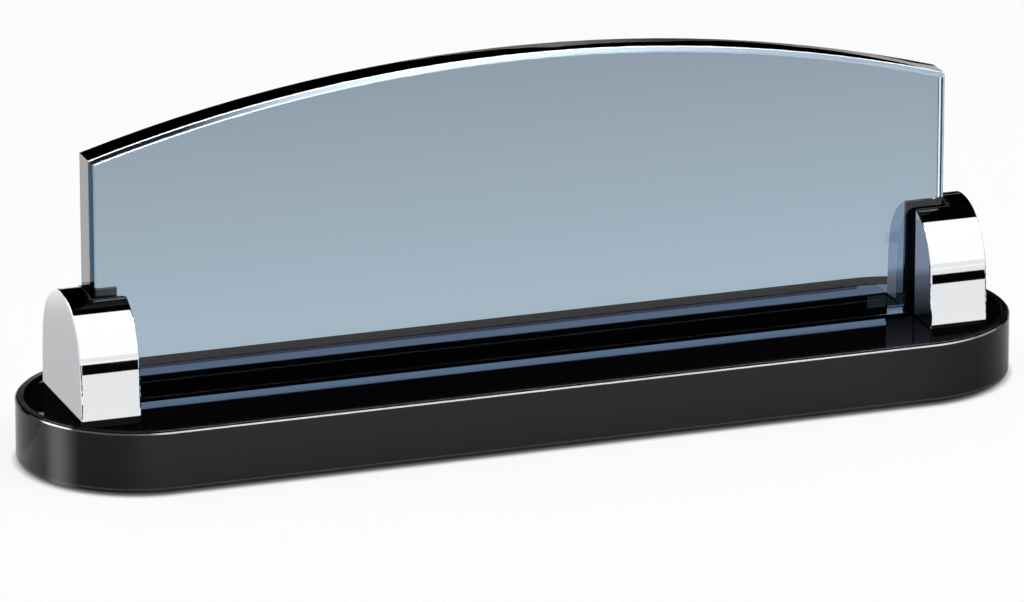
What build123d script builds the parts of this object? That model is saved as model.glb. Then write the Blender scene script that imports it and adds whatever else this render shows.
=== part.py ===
from build123d import *
import os
from math import atan2, degrees, sqrt

# Desk name plate: an arched sheet of tinted glass, bevelled on its read side, that drops into
# two slotted chrome posts on a long black base with rounded ends.
# Millimetres. +Z is up, +X runs along the length and the read side faces -Y.
# The origin lies on the desk, under the middle of the base.

# Base
base_length = 267.0
base_depth = 62.5
base_height = 16.3
rim_width = 2.4
rim_outer_chamfer = 0.7
rim_inner_break = 0.3
base_foot_radius = 1.2

# Polished deck panel, sunk inside the rim
deck_thickness = 2.0
deck_sunk = 0.9
deck_clearance = 0.1

# Rubber feet, pressed into shallow sockets
foot_diameter = 10.0
foot_thickness = 2.0
foot_socket_depth = 1.4
foot_clearance = 0.1
foot_edge_radius = 0.5
foot_end_margin = 42.0
foot_side_margin = 10.0

# Chrome posts: plumb at the foot, leaning in a little on the way up to a round crown
post_rim_gap = 2.3
post_width = 15.6
post_depth = 34.6
post_height = 30.2
post_flank_lean = 0.8
post_edge_radius = 0.45
slot_edge_radius = 0.35

# Glass plate
glass_thickness = 10.0
glass_insertion = 8.6
glass_end_height = 63.6
glass_arch_rise = 16.5
glass_bevel_width = 0.7
glass_bevel_depth = 2.1
glass_arris = 0.3

# Soft sleeve between the glass and each slot
liner_thickness = 0.6
liner_floor = 0.8
liner_inset = 0.5
glass_side_clearance = 0.1
glass_end_clearance = 0.4

# Post screws and washers
screw_diameter = 4.0
screw_engagement = 10.0
screw_tip_room = 1.5
screw_clearance = 0.25
thread_clearance = 0.05
screw_head_diameter = 8.0
screw_head_height = 2.6
screw_head_edge_radius = 0.8
drive_slot_length = 4.4
drive_slot_width = 0.9
drive_slot_depth = 1.4
washer_diameter = 9.0
washer_thickness = 0.8
counterbore_depth = 5.5
counterbore_clearance = 0.4

# How far a cutting tool runs past the face that it opens
overrun = 1.0

# Heights above the desk
base_bottom = foot_thickness - foot_socket_depth
rim_top = base_bottom + base_height
deck_top = rim_top - deck_sunk
tray_floor = deck_top - deck_thickness
counterbore_top = base_bottom + counterbore_depth
glass_bottom = deck_top + liner_floor

# Places along the length and across the depth
# Each post stands with its outer corners a fixed gap inside the rim's round end.
end_centre_x = (base_length - base_depth) / 2
post_half_depth = post_depth / 2
post_corner_radius = base_depth / 2 - rim_width - post_rim_gap
post_outer_x = end_centre_x + sqrt(post_corner_radius**2 - post_half_depth**2)
post_inner_x = post_outer_x - post_width
glass_end_x = post_inner_x + glass_insertion
pocket_end_x = glass_end_x + glass_end_clearance
slot_end_x = pocket_end_x + liner_thickness
pocket_half_width = glass_thickness / 2 + glass_side_clearance
slot_half_width = pocket_half_width + liner_thickness
screw_x = post_outer_x - post_width / 2
screw_y = (slot_half_width + post_half_depth) / 2
foot_x = base_length / 2 - foot_end_margin
foot_y = base_depth / 2 - foot_side_margin


def prism(outline, bottom, top):
    """Raise a flat outline from one height to another."""
    return Pos(0, 0, bottom) * extrude(outline, top - bottom)


def block(x_range, y_range, z_range):
    """Rectangular block between three pairs of limits."""
    low = (x_range[0], y_range[0], z_range[0])
    size = [limits[1] - limits[0] for limits in (x_range, y_range, z_range)]
    return Pos(*low) * Box(*size, align=Align.MIN)


def rod(radius, bottom, top):
    """Upright cylinder on the Z axis between two heights."""
    return prism(Circle(radius), bottom, top)


def above_deck(edge):
    """Whether an edge lies clear of the deck's surface."""
    return edge.center().Z > deck_top


def at_post_screws(side):
    """Axes of the two screws in the post on one side, one in each arm."""
    return Locations((side * screw_x, -screw_y), (side * screw_x, screw_y))


def base_body():
    """Base: rounded-end block with a tray for the deck, screw holes and foot sockets."""
    tray_outline = offset(SlotOverall(base_length, base_depth), -rim_width)
    body = prism(SlotOverall(base_length, base_depth), base_bottom, rim_top)
    body = fillet(body.faces().sort_by(Axis.Z)[0].edges(), base_foot_radius)
    body = chamfer(body.faces().sort_by(Axis.Z)[-1].edges(), rim_outer_chamfer)
    body -= prism(tray_outline, tray_floor, rim_top + overrun)
    rim_face = body.faces().sort_by(Axis.Z)[-1]
    body = chamfer(rim_face.inner_wires().edges(), rim_inner_break)
    hole = rod(screw_diameter / 2 + screw_clearance, base_bottom, tray_floor + overrun)
    hole += rod(washer_diameter / 2 + counterbore_clearance, base_bottom - overrun, counterbore_top)
    for side in (-1, 1):
        body -= [place * hole for place in at_post_screws(side)]
    socket = rod(foot_diameter / 2 + foot_clearance, base_bottom - overrun, base_bottom + foot_socket_depth)
    return body - [Pos(x, y, 0) * socket for x in (-foot_x, foot_x) for y in (-foot_y, foot_y)]


def deck_panel():
    """Polished panel that lies in the base's tray, drilled for the post screws."""
    outline = offset(SlotOverall(base_length, base_depth), -rim_width - deck_clearance)
    panel = prism(outline, tray_floor, deck_top)
    hole = rod(screw_diameter / 2 + screw_clearance, tray_floor - overrun, deck_top + overrun)
    for side in (-1, 1):
        panel -= [place * hole for place in at_post_screws(side)]
    return panel


def foot(x, y):
    """Rubber foot, rounded where it meets the desk."""
    pad = rod(foot_diameter / 2, 0, foot_thickness)
    pad = fillet(pad.faces().sort_by(Axis.Z)[0].edges(), foot_edge_radius)
    return Pos(x, y, 0) * pad


def post_blank():
    """Right post before it is slotted: a three-centred arch drawn through the post's width."""
    crown_radius = post_half_depth - post_flank_lean
    crown_rise = post_height - crown_radius
    flank_radius = (post_half_depth**2 + crown_rise**2 - crown_radius**2) / (2 * post_flank_lean)
    flank_angle = degrees(atan2(crown_rise, flank_radius - post_half_depth))
    rear_flank = JernArc((post_half_depth, 0), (0, 1), flank_radius, flank_angle)
    crown = JernArc(rear_flank @ 1, rear_flank % 1, crown_radius, 180 - 2 * flank_angle)
    front_flank = JernArc(crown @ 1, crown % 1, flank_radius, flank_angle)
    foot_line = Line(front_flank @ 1, rear_flank @ 0)
    outline = make_face([rear_flank, crown, front_flank, foot_line])
    return Pos(post_inner_x, 0, deck_top) * extrude(Plane.YZ * outline, post_width)


def right_post():
    """Right post: arched block, slotted from its inner cheek for the glass and tapped twice below."""
    arch = post_blank()
    cheeks = arch.faces().sort_by(Axis.X)
    arch = fillet((cheeks[0].edges() + cheeks[-1].edges()).filter_by(above_deck), post_edge_radius)
    slot = block(
        (post_inner_x - overrun, slot_end_x),
        (-slot_half_width, slot_half_width),
        (deck_top - overrun, deck_top + post_height + overrun),
    )
    body = arch - slot
    body = fillet(new_edges(arch, slot, combined=body).filter_by(above_deck), slot_edge_radius)
    tapped = rod(
        screw_diameter / 2 + thread_clearance,
        deck_top - overrun,
        deck_top + screw_engagement + screw_tip_room,
    )
    return body - [place * tapped for place in at_post_screws(1)]


def right_slot_liner():
    """Soft sleeve: fills the slot round the glass, carries its lower corner and stays inside the post."""
    sleeve = block(
        (post_inner_x + liner_inset, slot_end_x),
        (-slot_half_width, slot_half_width),
        (deck_top, deck_top + post_height),
    )
    sleeve = sleeve & (Pos(0, 0, -liner_inset) * post_blank())
    return sleeve - block(
        (post_inner_x - overrun, pocket_end_x),
        (-pocket_half_width, pocket_half_width),
        (glass_bottom, deck_top + post_height + overrun),
    )


def name_glass():
    """Glass plate: square lower corners, arched top, a bevel in front round the ends and the arch, arrised."""
    end_top = glass_bottom + glass_end_height
    corners = Polyline(
        (glass_end_x, end_top),
        (glass_end_x, glass_bottom),
        (-glass_end_x, glass_bottom),
        (-glass_end_x, end_top),
    )
    arch = ThreePointArc(corners @ 1, (0, end_top + glass_arch_rise), corners @ 0)
    plate = extrude(Plane.XZ * make_face([corners, arch]), glass_thickness / 2, both=True)
    front = plate.faces().sort_by(Axis.Y)[0]
    shown_edges = front.edges().sort_by(Axis.Z)[1:]
    plate = chamfer(shown_edges, glass_bevel_width, glass_bevel_depth, reference=front)
    return chamfer(plate.edges().filter_by(Plane.XZ), glass_arris)


def post_screws(side):
    """Two pan-head screws up through the base and deck into one post."""
    bearing = counterbore_top - washer_thickness
    head_bottom = bearing - screw_head_height
    head = rod(screw_head_diameter / 2, head_bottom, bearing)
    head = fillet(head.faces().sort_by(Axis.Z)[0].edges(), screw_head_edge_radius)
    drive_slot = block(
        (-drive_slot_length / 2, drive_slot_length / 2),
        (-drive_slot_width / 2, drive_slot_width / 2),
        (head_bottom - overrun, head_bottom + drive_slot_depth),
    )
    head -= [Rot(0, 0, turn) * drive_slot for turn in (0, 90)]
    screw = head + rod(screw_diameter / 2, bearing, deck_top + screw_engagement)
    return Compound(children=[place * screw for place in at_post_screws(side)])


def post_washers(side):
    """Two flat washers between the screw heads and the base."""
    ring = Circle(washer_diameter / 2) - Circle(screw_diameter / 2 + screw_clearance)
    washer = prism(ring, counterbore_top - washer_thickness, counterbore_top)
    return Compound(children=[place * washer for place in at_post_screws(side)])


nodes = {
    "base": base_body(),
    "deck_panel": deck_panel(),
    "name_glass": name_glass(),
    "right_post": right_post(),
    "left_post": mirror(right_post(), about=Plane.YZ),
    "right_slot_liner": right_slot_liner(),
    "left_slot_liner": mirror(right_slot_liner(), about=Plane.YZ),
    "right_post_screws": post_screws(1),
    "left_post_screws": post_screws(-1),
    "right_post_washers": post_washers(1),
    "left_post_washers": post_washers(-1),
    "foot_front_left": foot(-foot_x, -foot_y),
    "foot_front_right": foot(foot_x, -foot_y),
    "foot_rear_left": foot(-foot_x, foot_y),
    "foot_rear_right": foot(foot_x, foot_y),
}

os.makedirs("parts", exist_ok=True)
for node_name, shape in nodes.items():
    shape.label = node_name
    export_step(shape, f"parts/{node_name}.step")
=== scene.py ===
"""Looks of the desk name plate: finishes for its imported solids, and the studio round them."""

import math

import bpy
from bpy.props import FloatProperty, FloatVectorProperty, PointerProperty
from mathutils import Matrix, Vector


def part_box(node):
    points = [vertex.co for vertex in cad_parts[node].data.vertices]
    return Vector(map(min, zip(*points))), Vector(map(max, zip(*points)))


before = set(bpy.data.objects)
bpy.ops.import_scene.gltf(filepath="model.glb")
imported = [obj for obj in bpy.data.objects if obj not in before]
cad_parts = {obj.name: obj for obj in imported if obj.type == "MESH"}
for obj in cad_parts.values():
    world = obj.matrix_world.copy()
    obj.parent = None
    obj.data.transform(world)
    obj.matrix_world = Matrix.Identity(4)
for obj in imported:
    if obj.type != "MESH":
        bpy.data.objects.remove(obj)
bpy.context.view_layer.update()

bl_info = {
    "name": "Desk name plate",
    "version": (1, 0, 0),
    "blender": (4, 5, 0),
    "location": "View3D > Sidebar > Name plate",
    "description": "Finishes the solids of a desk name plate and sets its studio",
    "category": "Object",
}

MM = 0.001
PHOTO_WIDTH_PX = 1024
SENSOR_WIDTH_MM = 36.0

# Lines along the lacquered base, in millimetres: the height of the middle and half the width.
# The lower line is a painted highlight, a band of lighter colour along the base.
EDGE_HIGHLIGHT_LINE = (1.9, 0.25)
MATT_LINE = (16.705, 0.175)

# How fast the glass darkens with the length of the way through it, per metre.
GLASS_DENSITY = 100.0

# Places on the part that the studio is set round: the base's round ends, with their wall and rim,
# and the arch of the glass. Millimetres, and degrees for half the arch.
END_CENTRE_X = 102
WALL_RADIUS = 31.3
RIM_RADIUS = 31
RIM_Z = 16.6
ARCH_RADIUS = 411.8
ARCH_CENTRE_Z = -315
ARCH_Y = -4
ARCH_TURN = 17

# Places of the studio's cards, and the way from the rim to its ribbons, in millimetres.
CANOPY_LEFT = -230
CANOPY_RIGHT = 450
SHELF_Z = 16.95
TABLE_CARD_Z = 0.3
FAN_Z = 0.4
TENT_SIDES = (-900, 900)
TENT_RADIUS = 1200
TENT_FOOT_Z = 30
RIM_RIBBON_REACH = 1000

# Level of a black card, where 1 is white.
BLACK = 0.001

# Share of their light that cards, lines and ribbons keep where a mirror shows a mirror.
CARD_ECHO = 0.03
LINE_ECHO = 0.1
RIBBON_ECHO = 0.02

# Mesh attribute with the share of its material's light at each point of a stage surface.
FADE = "fade"


def linear(hex_colour):
    """Linear red, green and blue of an sRGB hex colour."""
    channels = [int(hex_colour[i : i + 2], 16) / 255 for i in (1, 3, 5)]
    return tuple(c / 12.92 if c <= 0.04045 else ((c + 0.055) / 1.055) ** 2.4 for c in channels)


def colour_property(name, description, hex_colour):
    """A colour that a user may change, with its default given as sRGB hex."""
    return FloatVectorProperty(
        name=name,
        description=description,
        subtype="COLOR",
        min=0.0,
        max=1.0,
        default=linear(hex_colour),
    )


def length_property(name, description, millimetres):
    """A length that a user may change, with its default given in millimetres."""
    return FloatProperty(
        name=name, description=description, default=millimetres * MM, unit="LENGTH", precision=5
    )


def angle_property(name, description, degrees):
    """An angle that a user may change, with its default given in degrees."""
    return FloatProperty(
        name=name, description=description, default=math.radians(degrees), subtype="ANGLE"
    )


def level_property(name, description, level):
    """A level of light that a user may change."""
    return FloatProperty(name=name, description=description, default=level, min=0.0)


class NamePlateFinish(bpy.types.PropertyGroup):
    """Colours and surface sizes of the name plate's materials."""

    lacquer: colour_property("Lacquer", "Black lacquer on the wooden base", "#0B0B0B")
    lacquer_worn: colour_property(
        "Lacquer, lighter", "Lacquer where it was rubbed a little lighter", "#0F0F10"
    )
    # Painted highlight: the lighter colour of the line where the lower edge starts to round.
    lacquer_highlight: colour_property(
        "Lacquer, edge", "Lacquer rubbed thin where the lower edge starts to round", "#363636"
    )
    lacquer_cloud: length_property(
        "Lacquer clouds", "Width of the clouds that rubbing leaves in the lacquer", 30.0
    )
    orange_peel: length_property(
        "Orange peel", "Width of the ripples that spraying leaves in the lacquer", 1.6
    )
    acrylic: colour_property("Acrylic", "Black acrylic of the deck panel", "#050507")
    wipe_mark: length_property("Wipe marks", "Width of a cloth's marks on the acrylic", 25.0)
    glass_clear: colour_property("Glass, foot", "Tint of its surface at the foot", "#F8F8F8")
    glass_deep: colour_property("Glass, crown", "Tint of its surface at the crown", "#CACACA")
    glass_body: colour_property("Glass, body", "Colour that the glass lets through", "#73AAC7")
    chrome: colour_property("Chrome", "Polished chrome of the posts", "#E6E7E9")
    smear: length_property("Smears", "Width of the smears on the polished chrome", 9.0)
    cheek: colour_property("Cheek", "Satin chrome on the outer cheeks of the posts", "#E0E1E3")
    brush_line: length_property("Brush line", "Spacing of the brush lines on the cheeks", 0.35)
    vinyl: colour_property("Vinyl", "Soft dark vinyl of the slot liners", "#17171C")
    zinc: colour_property("Zinc", "Zinc plating on the screws and washers", "#A7A9AB")
    bath_cloud: length_property("Bath clouds", "Width of the clouds in the zinc plating", 1.5)
    rubber: colour_property("Rubber", "Rubber of the feet", "#171717")
    grain: length_property("Grain", "Grain of the vinyl and the rubber", 0.4)


class NamePlateStage(bpy.types.PropertyGroup):
    """Studio: floor, light and camera."""

    floor: colour_property("Floor", "Pale floor under the name plate", "#F4F4F4")
    floor_size: length_property("Floor size", "Side of the square floor", 6000.0)
    world_level: level_property("World", "Level of the light from all round", 0.5)
    fill_level: level_property("Fill", "Level of the white tent in front", 1.25)
    key_level: level_property("Key", "Level of the ribbon lights overhead", 50.0)
    ribbon_width: length_property("Ribbon", "Width of the ribbon lights overhead", 36.0)
    edge_level: level_property("Edge", "Level of the ribbon lights for the glass's arch", 20.0)
    # Reaches of the painted shadow on the table, made by ambient occlusion.
    contact: length_property("Contact", "Reach of the dark line under the base", 2.0)
    around: length_property("Around", "Reach of the shade round the base, as mirrors show it", 70.0)
    azimuth: angle_property("Azimuth", "Turn of the camera to the right", -19.59)
    elevation: angle_property("Elevation", "Camera above the horizon", 18.17)
    distance: length_property("Distance", "From the camera to the point that it looks at", 2200.0)
    aim_side: length_property("Aim, side", "Place along the length that the camera looks at", -2.05)
    aim_height: length_property("Aim, height", "Height that the camera looks at", 30.3)
    focal_px: FloatProperty(
        name="Focal length",
        description="Focal length in pixels of the photograph",
        default=8595.7,
        min=1.0,
    )


def add_node(tree, kind, inputs=None, **settings):
    """Add a node with its settings, and give each input a value or a link from an output."""
    node = tree.nodes.new(kind)
    for name, value in settings.items():
        setattr(node, name, value)
    for key, value in (inputs or {}).items():
        if isinstance(value, bpy.types.NodeSocket):
            tree.links.new(value, node.inputs[key])
        else:
            node.inputs[key].default_value = value
    return node


def new_material(name):
    """An empty node material, and its tree."""
    material = bpy.data.materials.new(name)
    material.use_nodes = True
    material.node_tree.nodes.clear()
    return material, material.node_tree


def rgba(colour):
    """A colour property as the four numbers that a colour socket takes."""
    return (*colour, 1.0)


def dress(material, *nodes):
    """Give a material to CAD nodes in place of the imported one."""
    for name in nodes:
        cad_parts[name].material_slots[0].material = material


def lacquered_wood(finish):
    """Wood sprayed with black satin lacquer and rubbed down.

    The eye gets a deep black with a wide soft sheen, broken a little by the ripples of the spray,
    and a painted highlight: a lighter line of colour where the lower edge starts to round.
    """
    material, tree = new_material("black_satin_lacquered_wood")
    place = add_node(tree, "ShaderNodeTexCoord").outputs["Object"]
    clouds = add_node(
        tree,
        "ShaderNodeTexNoise",
        {"Vector": place, "Scale": 1 / finish.lacquer_cloud, "Detail": 3.0},
    )
    peel = add_node(
        tree,
        "ShaderNodeTexNoise",
        {"Vector": place, "Scale": 1 / finish.orange_peel, "Detail": 1.0},
    )
    colour = add_node(
        tree,
        "ShaderNodeMix",
        {0: clouds.outputs["Fac"], 6: rgba(finish.lacquer), 7: rgba(finish.lacquer_worn)},
        data_type="RGBA",
    )
    height = add_node(tree, "ShaderNodeSeparateXYZ", {"Vector": place}).outputs["Z"]
    # The first mask is the painted highlight line, the second the matt band.
    rubbed, matt = [
        add_node(
            tree, "ShaderNodeMath", {0: height, 1: middle * MM, 2: half * MM}, operation="COMPARE"
        )
        for middle, half in (EDGE_HIGHLIGHT_LINE, MATT_LINE)
    ]
    # Painted highlight: a thin lighter line where the lower edge starts to round.
    colour = add_node(
        tree,
        "ShaderNodeMix",
        {0: rubbed.outputs[0], 6: colour.outputs[2], 7: rgba(finish.lacquer_highlight)},
        data_type="RGBA",
    )
    # The upper part of the rim's chamfer is rubbed matt, so the bright line along the rim is thin.
    gloss = add_node(
        tree, "ShaderNodeMapRange", {"Value": matt.outputs[0], "To Min": 0.36, "To Max": 0.0}
    )
    sheen = add_node(
        tree,
        "ShaderNodeMapRange",
        {"Value": clouds.outputs["Fac"], "To Min": 0.09, "To Max": 0.14},
    )
    ripple = add_node(
        tree,
        "ShaderNodeBump",
        {"Height": peel.outputs["Fac"], "Strength": 0.06, "Distance": 0.05 * MM},
    )
    shader = add_node(
        tree,
        "ShaderNodeBsdfPrincipled",
        {
            "Base Color": colour.outputs[2],
            "Roughness": sheen.outputs["Result"],
            "IOR": 1.45,
            "Specular IOR Level": gloss.outputs["Result"],
            "Normal": ripple.outputs["Normal"],
        },
    )
    add_node(tree, "ShaderNodeOutputMaterial", {"Surface": shader.outputs["BSDF"]})
    return material


def polished_acrylic(finish):
    """Cast black acrylic, polished.

    The eye gets a black mirror, with a faint haze where a cloth has wiped it.
    """
    material, tree = new_material("black_polished_acrylic")
    place = add_node(tree, "ShaderNodeTexCoord").outputs["Object"]
    wiped = add_node(
        tree,
        "ShaderNodeTexNoise",
        {"Vector": place, "Scale": 1 / finish.wipe_mark, "Detail": 4.0, "Distortion": 0.6},
    )
    haze = add_node(
        tree,
        "ShaderNodeMapRange",
        {"Value": wiped.outputs["Fac"], "From Min": 0.35, "To Min": 0.008, "To Max": 0.03},
    )
    shader = add_node(
        tree,
        "ShaderNodeBsdfPrincipled",
        {"Base Color": rgba(finish.acrylic), "Roughness": haze.outputs["Result"], "IOR": 1.49},
    )
    add_node(tree, "ShaderNodeOutputMaterial", {"Surface": shader.outputs["BSDF"]})
    return material


def tinted_glass(finish):
    """Grey-blue float glass with polished edges.

    The eye gets a clear cool tint through the faces, and near black along the edges, where the way
    through is long.
    """
    material, tree = new_material("grey_blue_float_glass")
    low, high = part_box("name_glass")
    place = add_node(tree, "ShaderNodeTexCoord").outputs["Object"]
    height = add_node(tree, "ShaderNodeSeparateXYZ", {"Vector": place})
    rise = add_node(
        tree,
        "ShaderNodeMapRange",
        {"Value": height.outputs["Z"], "From Min": low.z, "From Max": high.z},
    )
    tint = add_node(
        tree,
        "ShaderNodeMix",
        {0: rise.outputs["Result"], 6: rgba(finish.glass_clear), 7: rgba(finish.glass_deep)},
        data_type="RGBA",
    )
    shader = add_node(
        tree,
        "ShaderNodeBsdfPrincipled",
        {"Base Color": tint.outputs[2], "Roughness": 0.0, "IOR": 1.52, "Transmission Weight": 1.0},
    )
    inside = add_node(
        tree,
        "ShaderNodeVolumeAbsorption",
        {"Color": rgba(finish.glass_body), "Density": GLASS_DENSITY},
    )
    add_node(
        tree,
        "ShaderNodeOutputMaterial",
        {"Surface": shader.outputs["BSDF"], "Volume": inside.outputs["Volume"]},
    )
    return material


def chromed_metal(finish):
    """Chrome plate, polished on the round and brushed to satin on the outer cheeks.

    The eye gets sharp black and white bands on the round, and an even pale grey on the cheeks.
    """
    material, tree = new_material("polished_chrome_with_brushed_cheek")
    coordinates = add_node(tree, "ShaderNodeTexCoord")
    place = add_node(tree, "ShaderNodeSeparateXYZ", {"Vector": coordinates.outputs["Object"]})
    facing = add_node(tree, "ShaderNodeSeparateXYZ", {"Vector": coordinates.outputs["Normal"]})
    side = add_node(tree, "ShaderNodeMath", {0: place.outputs["X"]}, operation="SIGN")
    outward = add_node(
        tree, "ShaderNodeMath", {0: side.outputs[0], 1: facing.outputs["X"]}, operation="MULTIPLY"
    )
    cheek = add_node(
        tree,
        "ShaderNodeMapRange",
        {"Value": outward.outputs[0], "From Min": 0.93, "From Max": 0.99},
    )
    lines = add_node(tree, "ShaderNodeCombineXYZ", {"Y": place.outputs["Y"]})
    brushed = add_node(
        tree,
        "ShaderNodeTexNoise",
        {"Vector": lines.outputs["Vector"], "Scale": 1 / finish.brush_line, "Detail": 2.0},
    )
    smear = add_node(
        tree,
        "ShaderNodeTexNoise",
        {"Vector": coordinates.outputs["Object"], "Scale": 1 / finish.smear, "Detail": 3.0},
    )
    polish = add_node(
        tree,
        "ShaderNodeMapRange",
        {"Value": smear.outputs["Fac"], "From Min": 0.4, "To Min": 0.03, "To Max": 0.06},
    )
    satin = add_node(
        tree,
        "ShaderNodeMapRange",
        {"Value": brushed.outputs["Fac"], "To Min": 0.16, "To Max": 0.22},
    )
    roughness = add_node(
        tree,
        "ShaderNodeMix",
        {0: cheek.outputs["Result"], 2: polish.outputs["Result"], 3: satin.outputs["Result"]},
        data_type="FLOAT",
    )
    colour = add_node(
        tree,
        "ShaderNodeMix",
        {0: cheek.outputs["Result"], 6: rgba(finish.chrome), 7: rgba(finish.cheek)},
        data_type="RGBA",
    )
    shader = add_node(
        tree,
        "ShaderNodeBsdfPrincipled",
        {"Base Color": colour.outputs[2], "Metallic": 1.0, "Roughness": roughness.outputs[0]},
    )
    add_node(tree, "ShaderNodeOutputMaterial", {"Surface": shader.outputs["BSDF"]})
    return material


def grained(name, colour, grain, roughness, depth):
    """A soft moulded material with a fine even grain in its sheen and relief."""
    material, tree = new_material(name)
    place = add_node(tree, "ShaderNodeTexCoord").outputs["Object"]
    pores = add_node(
        tree, "ShaderNodeTexNoise", {"Vector": place, "Scale": 1 / grain, "Detail": 3.0}
    )
    darker, lighter = [rgba([channel * share for channel in colour]) for share in (0.8, 1.2)]
    shade = add_node(
        tree,
        "ShaderNodeMix",
        {0: pores.outputs["Fac"], 6: darker, 7: lighter},
        data_type="RGBA",
    )
    sheen = add_node(
        tree,
        "ShaderNodeMapRange",
        {"Value": pores.outputs["Fac"], "To Min": roughness - 0.08, "To Max": roughness + 0.08},
    )
    relief = add_node(
        tree, "ShaderNodeBump", {"Height": pores.outputs["Fac"], "Strength": 0.4, "Distance": depth}
    )
    shader = add_node(
        tree,
        "ShaderNodeBsdfPrincipled",
        {
            "Base Color": shade.outputs[2],
            "Roughness": sheen.outputs["Result"],
            "IOR": 1.5,
            "Normal": relief.outputs["Normal"],
        },
    )
    add_node(tree, "ShaderNodeOutputMaterial", {"Surface": shader.outputs["BSDF"]})
    return material


def zinc_plated_steel(finish):
    """Turned steel with bright zinc plating.

    The eye gets a cool grey metal, clouded by the plating bath and a little dull.
    """
    material, tree = new_material("bright_zinc_plated_steel")
    place = add_node(tree, "ShaderNodeTexCoord").outputs["Object"]
    bath = add_node(
        tree,
        "ShaderNodeTexNoise",
        {"Vector": place, "Scale": 1 / finish.bath_cloud, "Detail": 3.0},
    )
    darker = rgba([channel * 0.8 for channel in finish.zinc])
    shade = add_node(
        tree,
        "ShaderNodeMix",
        {0: bath.outputs["Fac"], 6: darker, 7: rgba(finish.zinc)},
        data_type="RGBA",
    )
    dullness = add_node(
        tree, "ShaderNodeMapRange", {"Value": bath.outputs["Fac"], "To Min": 0.22, "To Max": 0.42}
    )
    shader = add_node(
        tree,
        "ShaderNodeBsdfPrincipled",
        {"Base Color": shade.outputs[2], "Metallic": 1.0, "Roughness": dullness.outputs["Result"]},
    )
    add_node(tree, "ShaderNodeOutputMaterial", {"Surface": shader.outputs["BSDF"]})
    return material


class NAMEPLATE_OT_base(bpy.types.Operator):
    """Lacquer the wooden base"""

    bl_idname = "nameplate.base"
    bl_label = "Base"

    def execute(self, context):
        dress(lacquered_wood(context.scene.name_plate_finish), "base")
        return {"FINISHED"}


class NAMEPLATE_OT_deck(bpy.types.Operator):
    """Polish the black deck panel"""

    bl_idname = "nameplate.deck"
    bl_label = "Deck panel"

    def execute(self, context):
        dress(polished_acrylic(context.scene.name_plate_finish), "deck_panel")
        return {"FINISHED"}


class NAMEPLATE_OT_glass(bpy.types.Operator):
    """Tint the glass plate"""

    bl_idname = "nameplate.glass"
    bl_label = "Glass plate"

    def execute(self, context):
        dress(tinted_glass(context.scene.name_plate_finish), "name_glass")
        return {"FINISHED"}


class NAMEPLATE_OT_posts(bpy.types.Operator):
    """Chrome the two posts"""

    bl_idname = "nameplate.posts"
    bl_label = "Posts"

    def execute(self, context):
        dress(chromed_metal(context.scene.name_plate_finish), "left_post", "right_post")
        return {"FINISHED"}


class NAMEPLATE_OT_liners(bpy.types.Operator):
    """Give the slot liners their soft vinyl"""

    bl_idname = "nameplate.liners"
    bl_label = "Slot liners"

    def execute(self, context):
        finish = context.scene.name_plate_finish
        # Extruded vinyl: dark, dull and very slightly mottled.
        vinyl = grained("dark_grey_extruded_vinyl", finish.vinyl, finish.grain, 0.55, 0.03 * MM)
        dress(vinyl, "left_slot_liner", "right_slot_liner")
        return {"FINISHED"}


class NAMEPLATE_OT_fasteners(bpy.types.Operator):
    """Plate the screws and washers under the base"""

    bl_idname = "nameplate.fasteners"
    bl_label = "Screws and washers"

    def execute(self, context):
        zinc = zinc_plated_steel(context.scene.name_plate_finish)
        dress(zinc, "left_post_screws", "right_post_screws")
        dress(zinc, "left_post_washers", "right_post_washers")
        return {"FINISHED"}


class NAMEPLATE_OT_feet(bpy.types.Operator):
    """Give the four feet their rubber"""

    bl_idname = "nameplate.feet"
    bl_label = "Feet"

    def execute(self, context):
        finish = context.scene.name_plate_finish
        # Moulded rubber: matt black with a fine grip grain.
        rubber = grained("matt_black_moulded_rubber", finish.rubber, finish.grain, 0.8, 0.05 * MM)
        dress(rubber, "foot_front_left", "foot_front_right", "foot_rear_left", "foot_rear_right")
        return {"FINISHED"}


def even_turns(first, last, count):
    """A count of angles in radians, evenly from one angle in degrees to another."""
    return [math.radians(first + (last - first) * step / (count - 1)) for step in range(count)]


def stage_mesh(name, points, faces, material, fade):
    """A stage surface from points in millimetres, with a share of its light at each point."""
    mesh = bpy.data.meshes.new(name)
    mesh.from_pydata([Vector(point) * MM for point in points], [], faces)
    mesh.materials.append(material)
    mesh.attributes.new(FADE, "FLOAT", "POINT").data.foreach_set("value", fade)
    surface = bpy.data.objects.new(name, mesh)
    bpy.context.scene.collection.objects.link(surface)
    return surface


def stage_strip(name, points, material, shares=None):
    """A stage strip through pairs of points, with a share of its light for each pair."""
    count = len(points) // 2
    faces = [(2 * i, 2 * i + 1, 2 * i + 3, 2 * i + 2) for i in range(count - 1)]
    fade = [share for share in shares or [1.0] * count for _ in range(2)]
    return stage_mesh(name, points, faces, material, fade)


def stage_sheet(name, x_range, profile, material, shares=None):
    """A stage strip drawn along X from a profile of (y, z) points."""
    points = [(x, y, z) for y, z in profile for x in x_range]
    return stage_strip(name, points, material, shares)


def hide_card(card, through_glass=False, in_mirrors=True):
    """Show a card in mirrors or through glass alone: it casts no light and throws no shadow."""
    card.visible_camera = False
    card.visible_diffuse = False
    card.visible_transmission = through_glass
    card.visible_glossy = in_mirrors
    card.visible_shadow = False


def echoed(tree, level, share):
    """A level as a first mirror shows it, and its given share where a mirror shows a mirror."""
    depth = add_node(tree, "ShaderNodeLightPath").outputs["Glossy Depth"]
    step = {"From Min": 1.0, "From Max": 2.0, "To Min": level, "To Max": level * share}
    return add_node(tree, "ShaderNodeMapRange", {"Value": depth, **step}).outputs["Result"]


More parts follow.
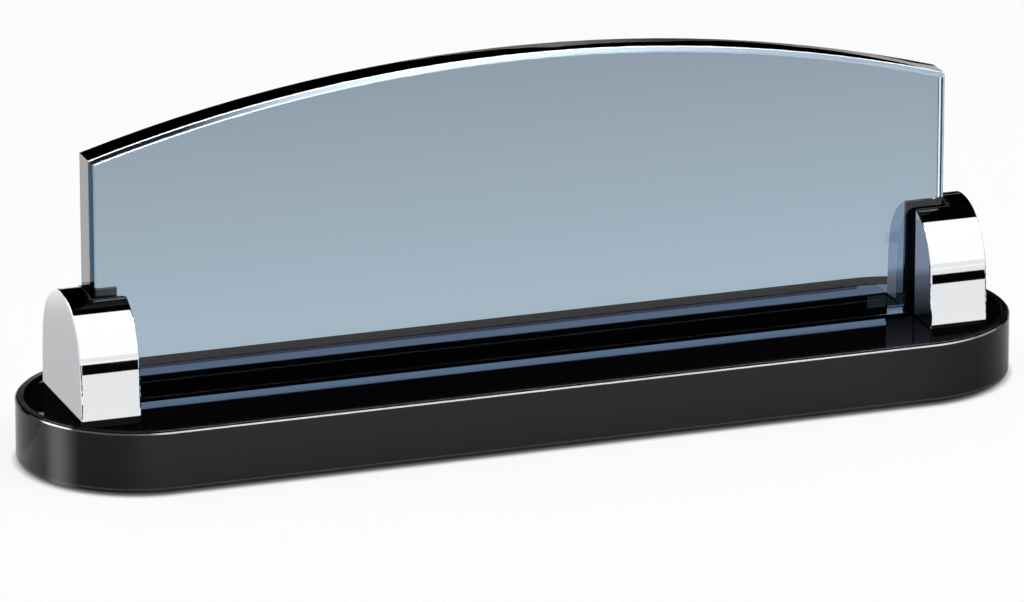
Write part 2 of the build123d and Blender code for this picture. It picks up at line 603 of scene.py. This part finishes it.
def glow(name, level, echo=1.0, colour="#FFFFFF", one_sided=False, added=False, mirrored=False):
    """A stage material that shines evenly, times the fade of its mesh.

    A mirror seen in a mirror shows it at the echo share. One-sided, it is clear from behind.
    Added, its light comes on top of what lies behind it.
    Mirrored, it is clear to straight sight through glass.
    """
    material, tree = new_material(name)
    fade = add_node(tree, "ShaderNodeAttribute", attribute_name=FADE).outputs["Fac"]
    strength = add_node(
        tree, "ShaderNodeMath", {0: echoed(tree, level, echo), 1: fade}, operation="MULTIPLY"
    )
    surface = add_node(
        tree,
        "ShaderNodeEmission",
        {"Color": rgba(linear(colour)), "Strength": strength.outputs[0]},
    )
    clear = add_node(tree, "ShaderNodeBsdfTransparent").outputs[0]
    if added:
        surface = add_node(tree, "ShaderNodeAddShader", {0: surface.outputs[0], 1: clear})
    if mirrored:
        depth = add_node(tree, "ShaderNodeLightPath").outputs["Glossy Depth"]
        seen = add_node(tree, "ShaderNodeMath", {0: depth, 1: 1.0}, operation="MINIMUM")
        surface = add_node(
            tree, "ShaderNodeMixShader", {0: seen.outputs[0], 1: clear, 2: surface.outputs[0]}
        )
    if one_sided:
        behind = add_node(tree, "ShaderNodeNewGeometry").outputs["Backfacing"]
        surface = add_node(
            tree, "ShaderNodeMixShader", {0: behind, 1: surface.outputs[0], 2: clear}
        )
    add_node(tree, "ShaderNodeOutputMaterial", {"Surface": surface.outputs[0]})
    return material


def veil(name):
    """A stage material that dims what lies behind it, by the fade of its mesh."""
    material, tree = new_material(name)
    fade = add_node(tree, "ShaderNodeAttribute", attribute_name=FADE).outputs["Fac"]
    clear = add_node(tree, "ShaderNodeBsdfTransparent").outputs[0]
    dark = add_node(tree, "ShaderNodeEmission", {"Strength": BLACK}).outputs[0]
    surface = add_node(tree, "ShaderNodeMixShader", {0: fade, 1: clear, 2: dark})
    add_node(tree, "ShaderNodeOutputMaterial", {"Surface": surface.outputs[0]})
    return material


def seen_share(tree, straight):
    """Share of a background's own white that a ray gets.

    It is the given share for straight sight, 1 for sight in a mirror or through glass, and 0 for
    light that falls on a surface.
    """
    path = add_node(tree, "ShaderNodeLightPath")
    bent = add_node(
        tree,
        "ShaderNodeMath",
        {0: path.outputs["Is Glossy Ray"], 1: path.outputs["Is Transmission Ray"]},
        operation="MAXIMUM",
    )
    return add_node(
        tree,
        "ShaderNodeMath",
        {0: path.outputs["Is Camera Ray"], 1: straight, 2: bent.outputs[0]},
        operation="MULTIPLY_ADD",
    ).outputs[0]


def pale_floor(stage):
    """Smooth white table.

    It carries a painted shadow close to the base, dims where a mirror shows a mirror, and is clear
    from below.
    """
    material, tree = new_material("white_table")
    paint = add_node(tree, "ShaderNodeBsdfDiffuse", {"Color": rgba(stage.floor)})
    path = add_node(tree, "ShaderNodeLightPath")
    # Painted shadow: the table's white is darkened by ambient occlusion, over a short reach for
    # straight sight and a long one in mirrors.
    contact, around = [
        add_node(tree, "ShaderNodeAmbientOcclusion", {"Distance": reach}, samples=8)
        for reach in (stage.contact, stage.around)
    ]
    shade = add_node(
        tree,
        "ShaderNodeMix",
        {0: path.outputs["Is Camera Ray"], 2: around.outputs["AO"], 3: contact.outputs["AO"]},
        data_type="FLOAT",
    )
    level = add_node(
        tree,
        "ShaderNodeMath",
        {0: shade.outputs[0], 1: echoed(tree, 1.0, CARD_ECHO)},
        operation="MULTIPLY",
    )
    white = add_node(
        tree,
        "ShaderNodeEmission",
        {"Color": rgba(linear("#FEFEFE")), "Strength": level.outputs[0]},
    )
    top = add_node(
        tree,
        "ShaderNodeMixShader",
        {0: seen_share(tree, 0.85), 1: paint.outputs[0], 2: white.outputs[0]},
    )
    below = add_node(tree, "ShaderNodeNewGeometry").outputs["Backfacing"]
    clear = add_node(tree, "ShaderNodeBsdfTransparent")
    both = add_node(
        tree, "ShaderNodeMixShader", {0: below, 1: top.outputs[0], 2: clear.outputs[0]}
    )
    add_node(tree, "ShaderNodeOutputMaterial", {"Surface": both.outputs[0]})
    return material


class NAMEPLATE_OT_stage(bpy.types.Operator):
    """Set the floor, the light and the camera"""

    bl_idname = "nameplate.stage"
    bl_label = "Studio"

    def execute(self, context):
        stage = context.scene.name_plate_stage
        half = stage.floor_size / MM / 2
        stage_sheet("floor", (-half, half), [(-half, 0), (half, 0)], pale_floor(stage))
        self.set_camera(context, stage)
        self.set_world(context, stage)
        self.set_tent(stage)
        eye = context.scene.camera.location / MM
        self.set_rim_ribbons(eye, stage)
        self.set_arch_ribbons(eye, stage)
        black = glow("black_card", BLACK)
        self.set_canopy()
        self.set_deck_cards(black)
        self.set_post_cards(black)
        self.set_table_cards(black)
        self.set_fans(eye)
        context.scene.view_settings.view_transform = "Standard"
        return {"FINISHED"}

    def set_camera(self, context, stage):
        """Camera at the photograph's viewing angle."""
        aim = Vector((stage.aim_side, 0.0, stage.aim_height))
        level = math.cos(stage.elevation)
        back = Vector(
            (
                math.sin(stage.azimuth) * level,
                -math.cos(stage.azimuth) * level,
                math.sin(stage.elevation),
            )
        )
        lens = bpy.data.cameras.new("camera")
        lens.sensor_width = SENSOR_WIDTH_MM
        lens.lens = stage.focal_px * SENSOR_WIDTH_MM / PHOTO_WIDTH_PX
        lens.clip_end = 100.0
        camera = bpy.data.objects.new("camera", lens)
        camera.location = aim + back * stage.distance
        camera.rotation_euler = back.to_track_quat("Z", "Y").to_euler()
        context.scene.collection.objects.link(camera)
        context.scene.camera = camera

    def set_world(self, context, stage):
        """Even light from all round, seen as white, and dim where a mirror shows a mirror."""
        world = bpy.data.worlds.new("studio")
        context.scene.world = world
        world.use_nodes = True
        tree = world.node_tree
        tree.nodes.clear()
        ambient = add_node(
            tree,
            "ShaderNodeBackground",
            {"Color": rgba(linear("#FFFFFF")), "Strength": stage.world_level},
        )
        white = add_node(
            tree,
            "ShaderNodeBackground",
            {"Color": rgba(linear("#FEFEFE")), "Strength": echoed(tree, 1.0, CARD_ECHO)},
        )
        mixed = add_node(
            tree,
            "ShaderNodeMixShader",
            {0: seen_share(tree, 1.0), 1: ambient.outputs[0], 2: white.outputs[0]},
        )
        add_node(tree, "ShaderNodeOutputWorld", {"Surface": mixed.outputs[0]})

    def set_tent(self, stage):
        """White tent in front, which the posts mirror."""
        profile = [
            (-TENT_RADIUS * math.cos(turn), TENT_FOOT_Z + TENT_RADIUS * math.sin(turn))
            for turn in even_turns(5, 85, 17)
        ]
        white = glow("tent_white", stage.fill_level, CARD_ECHO)
        hide_card(stage_sheet("tent", TENT_SIDES, profile, white))

    def set_rim_ribbons(self, eye, stage):
        """Bright ribbons overhead, which the base's rim mirrors along the front and its ends."""
        for name, first, last, shares in (
            ("key_ribbon", -12, 40, (0.3, 0.9, 1, 0.8, 0.5, 0.3, 0.2, 0.15, 0.1)),
            ("left_ribbon", -48, -13, (0.1, 0.1, 0.1, 0.1, 0.1, 0.1, 0.1, 0.15, 0.25)),
            ("corner_ribbon", -69, -50, (0.1, 0.5, 1, 1, 1, 1, 1, 1, 0.6)),
        ):
            rim = []
            for turn in even_turns(first, last, len(shares)):
                out = Vector((math.sin(turn), -math.cos(turn), 0))
                centre = Vector((math.copysign(END_CENTRE_X, turn), 0, RIM_Z))
                rim.append((centre + RIM_RADIUS * out, out + Vector((0, 0, 1))))
            light = glow(name, stage.key_level, RIBBON_ECHO)
            width = stage.ribbon_width / MM
            self.set_ribbon(eye, rim, shares, RIM_RIBBON_REACH, width, light)

    def set_arch_ribbons(self, eye, stage):
        """Bright ribbons that the glass's arch mirrors, two of them for the glass alone."""
        glass = bpy.data.collections.new("glass_edges")
        glass.objects.link(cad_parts["name_glass"])
        inner = (1, 1, 1, 1, 0.8, 0.5, 0.3, 0.3, 0.3)
        bevel = (0.02, 0.05, 1.6, 2.4, 2.2, 1.5, 0.95, 0.7, 0.62)
        outer = (1, 1, 1, 1, 1, 0.8, 0.5, 0.4, 0.4)
        for name, tilt, reach, width, level, colour, shares, glass_alone in (
            ("inner_arris_ribbon", 36, 1000, 160, 1.0, "#E6F1FC", inner, False),
            ("bevel_ribbon", 71.6, 230, 40, 0.42, "#CDE5FF", bevel, True),
            ("outer_arris_ribbon", 80.8, 180, 30, 0.8, "#FFFFFF", outer, True),
        ):
            front = Vector((0, -math.cos(math.radians(tilt)), 0))
            edge = []
            for lean in even_turns(-ARCH_TURN, ARCH_TURN, len(shares)):
                out = Vector((math.sin(lean), 0, math.cos(lean)))
                place = Vector((0, ARCH_Y, ARCH_CENTRE_Z)) + ARCH_RADIUS * out
                edge.append((place, front + math.sin(math.radians(tilt)) * out))
            light = glow(name, stage.edge_level * level, RIBBON_ECHO, colour)
            ribbon = self.set_ribbon(eye, edge, shares, reach, width, light)
            ribbon.visible_diffuse = False
            if glass_alone:
                ribbon.light_linking.receiver_collection = glass

    def set_ribbon(self, eye, edge, shares, reach, width, material):
        """A ribbon of light where the camera sees it mirrored in an edge.

        The edge is given by places and the ways that they face, and each place by its share of
        the light.
        """
        middles = []
        for place, facing in edge:
            sight = (place - eye).normalized()
            middles.append(place + reach * sight.reflect(facing.normalized()))
        befores = middles[:1] + middles
        afters = middles[1:] + middles[-1:]
        points = []
        for before, here, after, (place, _) in zip(befores, middles, afters, edge):
            across = (after - before).cross(here - place).normalized() * width / 2
            points += [here - across, here + across]
        ribbon = stage_strip(material.name, points, material, shares)
        ribbon.visible_camera = False
        ribbon.visible_transmission = False
        ribbon.visible_shadow = False
        return ribbon

    def set_canopy(self):
        """Dark cards overhead and behind, and the blue that shows past them."""
        # The deck and the posts' crowns mirror the canopy and its slit. The end closes it beyond
        # the right post, and the lip in front shows inside the glass alone.
        dark = glow("dark_canopy", BLACK, mirrored=True)
        for name, left, profile, in_mirrors in (
            ("canopy", CANOPY_LEFT, [(150, 71.85), (150, 300), (-33, 300)], True),
            ("canopy_sill", CANOPY_LEFT, [(150, 62.25), (150, 70.85)], True),
            ("canopy_end", 181, [(151, 47), (151, 73)], True),
            ("front_lip", CANOPY_LEFT, [(-200, 82), (-200, 96)], False),
        ):
            card = stage_sheet(name, (left, CANOPY_RIGHT), profile, dark)
            hide_card(card, through_glass=True, in_mirrors=in_mirrors)
        # Over the table behind, dark from below: the arrises along the glass's foot stay dark.
        lip = glow("arris_lip", BLACK, one_sided=True)
        card = stage_sheet("arris_lip", (CANOPY_LEFT, CANOPY_RIGHT), [(240, 62), (153, 62)], lip)
        hide_card(card, through_glass=True, in_mirrors=False)
        # Blue behind the slit and under the sill, for the deck and the glass alone.
        blue = glow("blue_card", 1.95, LINE_ECHO, "#D3E3FF", mirrored=True)
        card = stage_sheet("blue_card", (-60, CANOPY_RIGHT), [(152, 47.5), (152, 73)], blue)
        hide_card(card, through_glass=True)
        mirrors = bpy.data.collections.new("deck_and_glass")
        for name in ("deck_panel", "name_glass"):
            mirrors.objects.link(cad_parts[name])
        card.light_linking.receiver_collection = mirrors

    def set_deck_cards(self, black):
        """Narrow cards that the deck, the right post's inner cheek and the glass mirror."""
        # Below the glass: a blue line along the deck.
        strip = glow("blue_strip", 1.2, LINE_ECHO, "#A8D3FF")
        hide_card(stage_sheet("blue_strip", (-106, 99), [(-5.03, 16.03), (-5.03, 17.12)], strip))
        # Blue by the right post, in front of the glass and behind it, dim at the foot. Each height
        # comes with its share of the light.
        front = [(16.05, 0.03), (18, 0.09), (20, 0.15), (22, 0.2)]
        front += [(24, 0.33), (26.5, 0.45), (29, 0.95), (42, 1)]
        rear = [(16.05, 0.2), (18.6, 0.25), (20, 0.32), (21.7, 0.5), (23.5, 1), (42, 1)]
        for name, level, colour, x_range, y, rise in (
            ("front_dim", 0.367, "#CFE1FF", (99.2, 106.7), -5.2, front),
            ("rear_dim", 0.86, "#D8E8FC", (101.5, 106.75), 17.5, rear),
        ):
            light = glow(name, level, colour=colour, one_sided=True)
            profile = [(y, z) for z, _ in rise]
            hide_card(stage_sheet(name, x_range, profile, light, [share for _, share in rise]))
        # Behind the rear rim, black below and grey above: two lines along the deck's back.
        hide_card(stage_sheet("rear_edge", (-104, 104), [(31, 16.9), (31, 17.6)], black))
        grey = glow("grey_edge", 1.0, LINE_ECHO, "#C2BED6")
        hide_card(stage_sheet("grey_edge", (-104, 104), [(31, 17.6), (31, 18.44)], grey))
        # Pale line before the canopy, which the back of the glass's top edge mirrors. Each place
        # along the length comes with its height and its share of the light.
        line = [(-1, 149.2, 0), (20, 147.5, 0.5), (67, 140.4, 0.6), (104, 129.9, 0.15)]
        line += [(147, 112.3, 0.6), (174, 99.4, 0.9), (189, 91.6, 1), (195, 88.5, 1)]
        points = [(x, 149.5, z - drop) for x, z, _ in line for drop in (0, 1.8)]
        pale = glow("pale_line", 1.0, LINE_ECHO)
        hide_card(stage_strip("pale_line", points, pale, [share for _, _, share in line]))

    def set_post_cards(self, black):
        """Small cards that the fronts of the posts and the left cheek mirror."""
        # Low strips in front: a dark line across each post.
        for name, x_range, z_range in (
            ("left_strip", (-118, -95), (25.6, 28.7)),
            ("right_strip", (113, 135), (24.1, 27.3)),
        ):
            hide_card(stage_sheet(name, x_range, [(-40, z) for z in z_range], black))
        # Over the deck, clear from below: posts and cheek stay bright down to the deck.
        for name, x_range, y_range, level in (
            ("left_shelf", (-124, -101.5), (-31.2, -17.4), 1.0),
            ("right_shelf", (106.5, 128), (-31.2, -17.4), 1.0),
            ("cheek_shelf", (-133.4, -122.45), (-17.3, 46), 0.62),
        ):
            white = glow(name, level, CARD_ECHO, one_sided=True)
            hide_card(stage_sheet(name, x_range, [(y, SHELF_Z) for y in y_range], white))

    def set_table_cards(self, black):
        """Cards that lie on the table."""
        # White in front for the posts, grey for the left cheek, bluish for the right post's inner
        # cheek, and pale and blue for the glass's left end.
        for name, x_range, y_range, level, colour in (
            ("front_card", TENT_SIDES, (-1190, -302), 1.14, "#FFFFFF"),
            ("cheek_card", (-180, -132), (12, 140), 0.62, "#FFFFFF"),
            ("inner_cheek_card", (0, 108), (31.5, 300), 0.85, "#D8E8FC"),
            ("end_card", (-212, -140), (126, 262), 1.6, "#FFFFFF"),
            ("bevel_card", (-345, -213), (60, 145), 1.8, "#A2D0FF"),
        ):
            light = glow(name, level, CARD_ECHO, colour)
            hide_card(stage_sheet(name, x_range, [(y, TABLE_CARD_Z) for y in y_range], light))
        # Dark on both sides, beyond the base's reach: a dark line down the posts' outer edges.
        left = [(-135, -80), (-155, -68), (-180, -36), (-320, -36), (-320, -220), (-135, -220)]
        right = [(173, -60), (330, -60), (330, 90), (173, 90)]
        for name, corners in (("left_dark_card", left), ("right_dark_card", right)):
            count = len(corners)
            points = [(x, y, TABLE_CARD_Z) for x, y in corners]
            hide_card(stage_mesh(name, points, [tuple(range(count))], black, [1.0] * count))
        # Slanted strips behind, pale, black and pale: the glass's right end mirrors them inside.
        for name, level, near, far in (
            ("rear_slant", 2.4, (107.4, 109.9), (280.6, 283.3)),
            ("middle_slant", BLACK, (106.1, 107.4), (279.2, 280.6)),
            ("front_slant", 1.6, (105.2, 106.1), (278.2, 279.2)),
        ):
            points = [(x, y, TABLE_CARD_Z) for x, ends in ((72, near), (0, far)) for y in ends]
            light = glow(name, level, LINE_ECHO, mirrored=True)
            hide_card(stage_strip(name, points, light), through_glass=True, in_mirrors=False)

    def set_fans(self, eye):
        """Fans on the table where the camera sees them mirrored in the base's round ends.

        A bright one gives the soft sheen down the left end, and dim ones lie beside it and at
        the right end.
        """
        sheen = [math.sin(turn) ** 2 for turn in even_turns(0, 180, 13)]
        left = (0.42, 0.48, 0.48, 0.45, 0.35, 0.15, 0)
        right = (0, 0.2, 0.42, 0.58, 0.55, 0.45, 0.4)
        for centre_x, first, last, reach, shares, material in (
            (-END_CENTRE_X, -68, -47, 60, sheen, glow("sheen_card", 2.7, LINE_ECHO, added=True)),
            (-END_CENTRE_X, -47, -11, 50, left, veil("left_veil")),
            (END_CENTRE_X, -12, 60, 50, right, veil("right_veil")),
        ):
            points = []
            for turn in even_turns(first, last, len(shares)):
                out = Vector((math.sin(turn), -math.cos(turn), 0))
                foot = Vector((centre_x, 0, FAN_Z)) + WALL_RADIUS * out
                away = (foot - eye).reflect(out)
                away.z = 0
                points += [foot, foot + reach * away.normalized()]
            hide_card(stage_strip(material.name, points, material, shares))


OPERATORS = (
    NAMEPLATE_OT_base,
    NAMEPLATE_OT_deck,
    NAMEPLATE_OT_glass,
    NAMEPLATE_OT_posts,
    NAMEPLATE_OT_liners,
    NAMEPLATE_OT_fasteners,
    NAMEPLATE_OT_feet,
    NAMEPLATE_OT_stage,
)


class NAMEPLATE_PT_panel(bpy.types.Panel):
    """Lists the steps that finish the name plate"""

    bl_idname = "NAMEPLATE_PT_panel"
    bl_label = "Name plate"
    bl_space_type = "VIEW_3D"
    bl_region_type = "UI"
    bl_category = "Name plate"

    def draw(self, context):
        for operator in OPERATORS:
            self.layout.operator(operator.bl_idname)


CLASSES = (NamePlateFinish, NamePlateStage, *OPERATORS, NAMEPLATE_PT_panel)


def register():
    """Register the classes and keep their settings with the scene."""
    for cls in CLASSES:
        bpy.utils.register_class(cls)
    bpy.types.Scene.name_plate_finish = PointerProperty(type=NamePlateFinish)
    bpy.types.Scene.name_plate_stage = PointerProperty(type=NamePlateStage)


def unregister():
    """Take away what register added."""
    del bpy.types.Scene.name_plate_stage
    del bpy.types.Scene.name_plate_finish
    for cls in reversed(CLASSES):
        bpy.utils.unregister_class(cls)


def main():
    """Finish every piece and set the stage."""
    register()
    bpy.ops.nameplate.base()
    bpy.ops.nameplate.deck()
    bpy.ops.nameplate.glass()
    bpy.ops.nameplate.posts()
    bpy.ops.nameplate.liners()
    bpy.ops.nameplate.fasteners()
    bpy.ops.nameplate.feet()
    bpy.ops.nameplate.stage()


if __name__ == "__main__":
    main()
